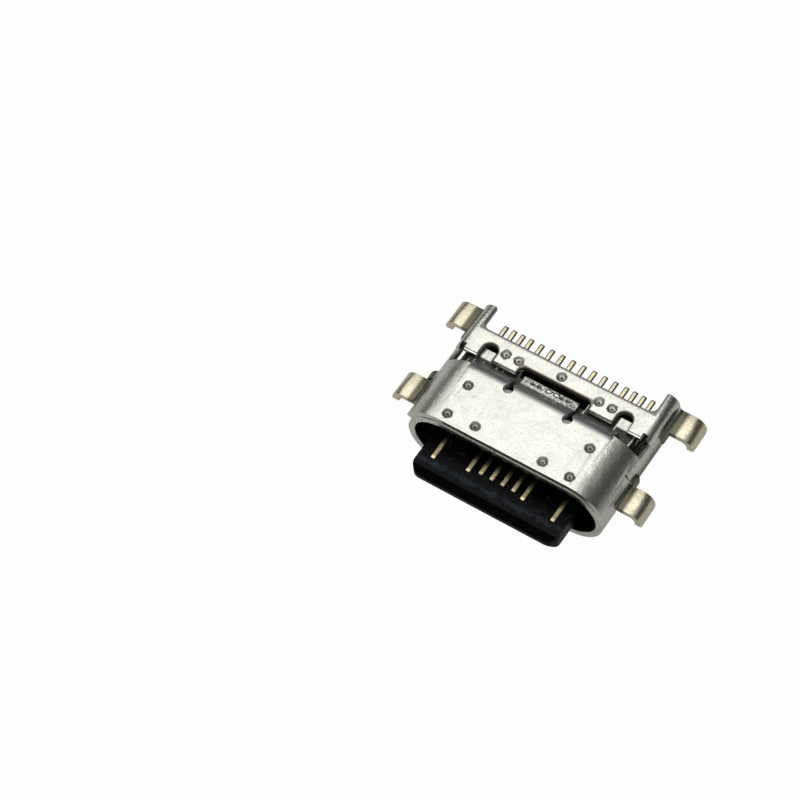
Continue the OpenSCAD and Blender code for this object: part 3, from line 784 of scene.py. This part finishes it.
def floor_finish():
    """White floor that keeps a soft shadow, shows as white to the camera and pale in metal,
    and is clear from underneath."""
    finish = Finish("white_floor")
    path = finish.add("ShaderNodeLightPath")
    seen = finish.maths("MAXIMUM", path.outputs["Is Camera Ray"],
                        path.outputs["Is Transmission Ray"])
    seen = finish.maths("MAXIMUM", finish.maths("MULTIPLY", seen, 0.98),
                        finish.maths("MULTIPLY", path.outputs["Is Glossy Ray"], 0.3))
    card = finish.add("ShaderNodeBsdfDiffuse", Color=(0.5, 0.5, 0.5))
    glow = finish.add("ShaderNodeEmission", Color=(1, 1, 1), Strength=1.0)
    both = finish.add("ShaderNodeMixShader")
    finish.fill(both.inputs[0], seen)
    finish.fill(both.inputs[1], card.outputs[0])
    finish.fill(both.inputs[2], glow.outputs[0])
    clear = finish.add("ShaderNodeBsdfTransparent")
    sided = finish.add("ShaderNodeMixShader")
    finish.fill(sided.inputs[0], finish.add("ShaderNodeNewGeometry").outputs["Backfacing"])
    finish.fill(sided.inputs[1], both.outputs[0])
    finish.fill(sided.inputs[2], clear.outputs[0])
    finish.add("ShaderNodeOutputMaterial", Surface=sided.outputs[0])
    return finish.material


def studio_world():
    """Room light: bright above, dim low down, and white where the camera sees it."""
    world = bpy.data.worlds.new("studio")
    world.use_nodes = True
    nodes, links = world.node_tree.nodes, world.node_tree.links
    nodes.clear()
    split = nodes.new("ShaderNodeSeparateXYZ")
    links.new(nodes.new("ShaderNodeTexCoord").outputs["Generated"], split.inputs[0])
    ramp = nodes.new("ShaderNodeValToRGB")
    lowest, highest = ramp.color_ramp.elements
    lowest.position, lowest.color = 0.0, (0.35, 0.35, 0.34, 1)
    highest.position, highest.color = 1.0, (0.8, 0.8, 0.8, 1)
    for position, level in ((0.12, 0.16), (0.3, 0.05), (0.6, 0.06), (0.8, 0.25)):
        element = ramp.color_ramp.elements.new(position)
        element.color = (level, level, level, 1)
    links.new(split.outputs["Z"], ramp.inputs[0])
    room = nodes.new("ShaderNodeBackground")
    links.new(ramp.outputs["Color"], room.inputs["Color"])
    white = nodes.new("ShaderNodeBackground")
    white.inputs["Color"].default_value = (1, 1, 1, 1)
    path = nodes.new("ShaderNodeLightPath")
    both = nodes.new("ShaderNodeMixShader")
    links.new(path.outputs["Is Camera Ray"], both.inputs[0])
    links.new(room.outputs[0], both.inputs[1])
    links.new(white.outputs[0], both.inputs[2])
    links.new(both.outputs[0], nodes.new("ShaderNodeOutputWorld").inputs["Surface"])
    return world


class SOCKET_OT_stage(bpy.types.Operator):
    """Set the floor, the lamps, the room and the camera"""

    bl_idname = "socket.stage"
    bl_label = "Studio"

    def execute(self, context):
        """Builds everything that isn't part of the socket."""
        scene = context.scene
        mesh = bpy.data.meshes.new("floor")
        side, level = 900 * MM, TUBE_LOW[2] * MM - 1e-5
        corners = np.array([[-side, -side, level], [side, -side, level], [side, side, level],
                            [-side, side, level]])
        mesh.from_pydata(corners.tolist(), [], [(0, 1, 2, 3)])
        mesh.materials.append(floor_finish())
        floor = bpy.data.objects.new("floor", mesh)
        scene.collection.objects.link(floor)

        lamp("overhead_softbox", (-45, 50, 100), (0, 2, 0), (130, 130), 0.051)
        scene.world = studio_world()

        camera = bpy.data.objects.new("camera", bpy.data.cameras.new("camera"))
        scene.collection.objects.link(camera)
        azimuth, elevation, roll = (math.radians(a) for a in (39.79, 57.76, -7.49))
        back = Vector((math.sin(azimuth) * math.cos(elevation),
                       -math.cos(azimuth) * math.cos(elevation), math.sin(elevation)))
        right = Vector((math.cos(azimuth), math.sin(azimuth), 0))
        up = back.cross(right)
        across = math.cos(roll) * right + math.sin(roll) * up
        upright = math.cos(roll) * up - math.sin(roll) * right
        turn = Matrix((across, upright, back)).transposed()
        place = (Vector((-5.444, 0.88, 0)) + back * 114.853) * MM
        camera.matrix_world = Matrix.Translation(place) @ turn.to_4x4()
        camera.data.sensor_width = 36
        camera.data.lens = 36 * 2885.5 / 800
        camera.data.clip_start, camera.data.clip_end = 0.005, 5
        scene.camera = camera
        scene.view_settings.view_transform = "Standard"
        return {"FINISHED"}


class SOCKET_PT_panel(bpy.types.Panel):
    """Steps that dress the socket"""

    bl_idname = "SOCKET_PT_panel"
    bl_label = "Socket"
    bl_space_type = "VIEW_3D"
    bl_region_type = "UI"
    bl_category = "Socket"

    def draw(self, context):
        """Lists the operators and the values they use."""
        for operator in OPERATORS:
            self.layout.operator(operator.bl_idname)
        for name in GROUPS:
            group = getattr(context.scene, name)
            for key in group.bl_rna.properties.keys()[2:]:
                self.layout.prop(group, key)


GROUPS = {"socket_shell": SocketShell, "socket_edges": SocketEdges, "socket_colours": SocketColours}
OPERATORS = (SOCKET_OT_drawn_shell, SOCKET_OT_stamped_cover, SOCKET_OT_weld_splashes,
             SOCKET_OT_mouldings, SOCKET_OT_contacts, SOCKET_OT_stage)


def register():
    """Registers the classes and puts the values on the scene."""
    for group in GROUPS.values():
        bpy.utils.register_class(group)
    for operator in OPERATORS:
        bpy.utils.register_class(operator)
    bpy.utils.register_class(SOCKET_PT_panel)
    for name, group in GROUPS.items():
        setattr(bpy.types.Scene, name, bpy.props.PointerProperty(type=group))


def unregister():
    """Takes everything off again."""
    for name in GROUPS:
        delattr(bpy.types.Scene, name)
    bpy.utils.unregister_class(SOCKET_PT_panel)
    for thing in (*OPERATORS, *GROUPS.values()):
        bpy.utils.unregister_class(thing)


def main():
    """Dresses the socket."""
    register()
    bpy.ops.socket.drawn_shell()
    bpy.ops.socket.stamped_cover()
    bpy.ops.socket.weld_splashes()
    bpy.ops.socket.mouldings()
    bpy.ops.socket.contacts()
    bpy.ops.socket.stage()


if __name__ == "__main__":
    main()
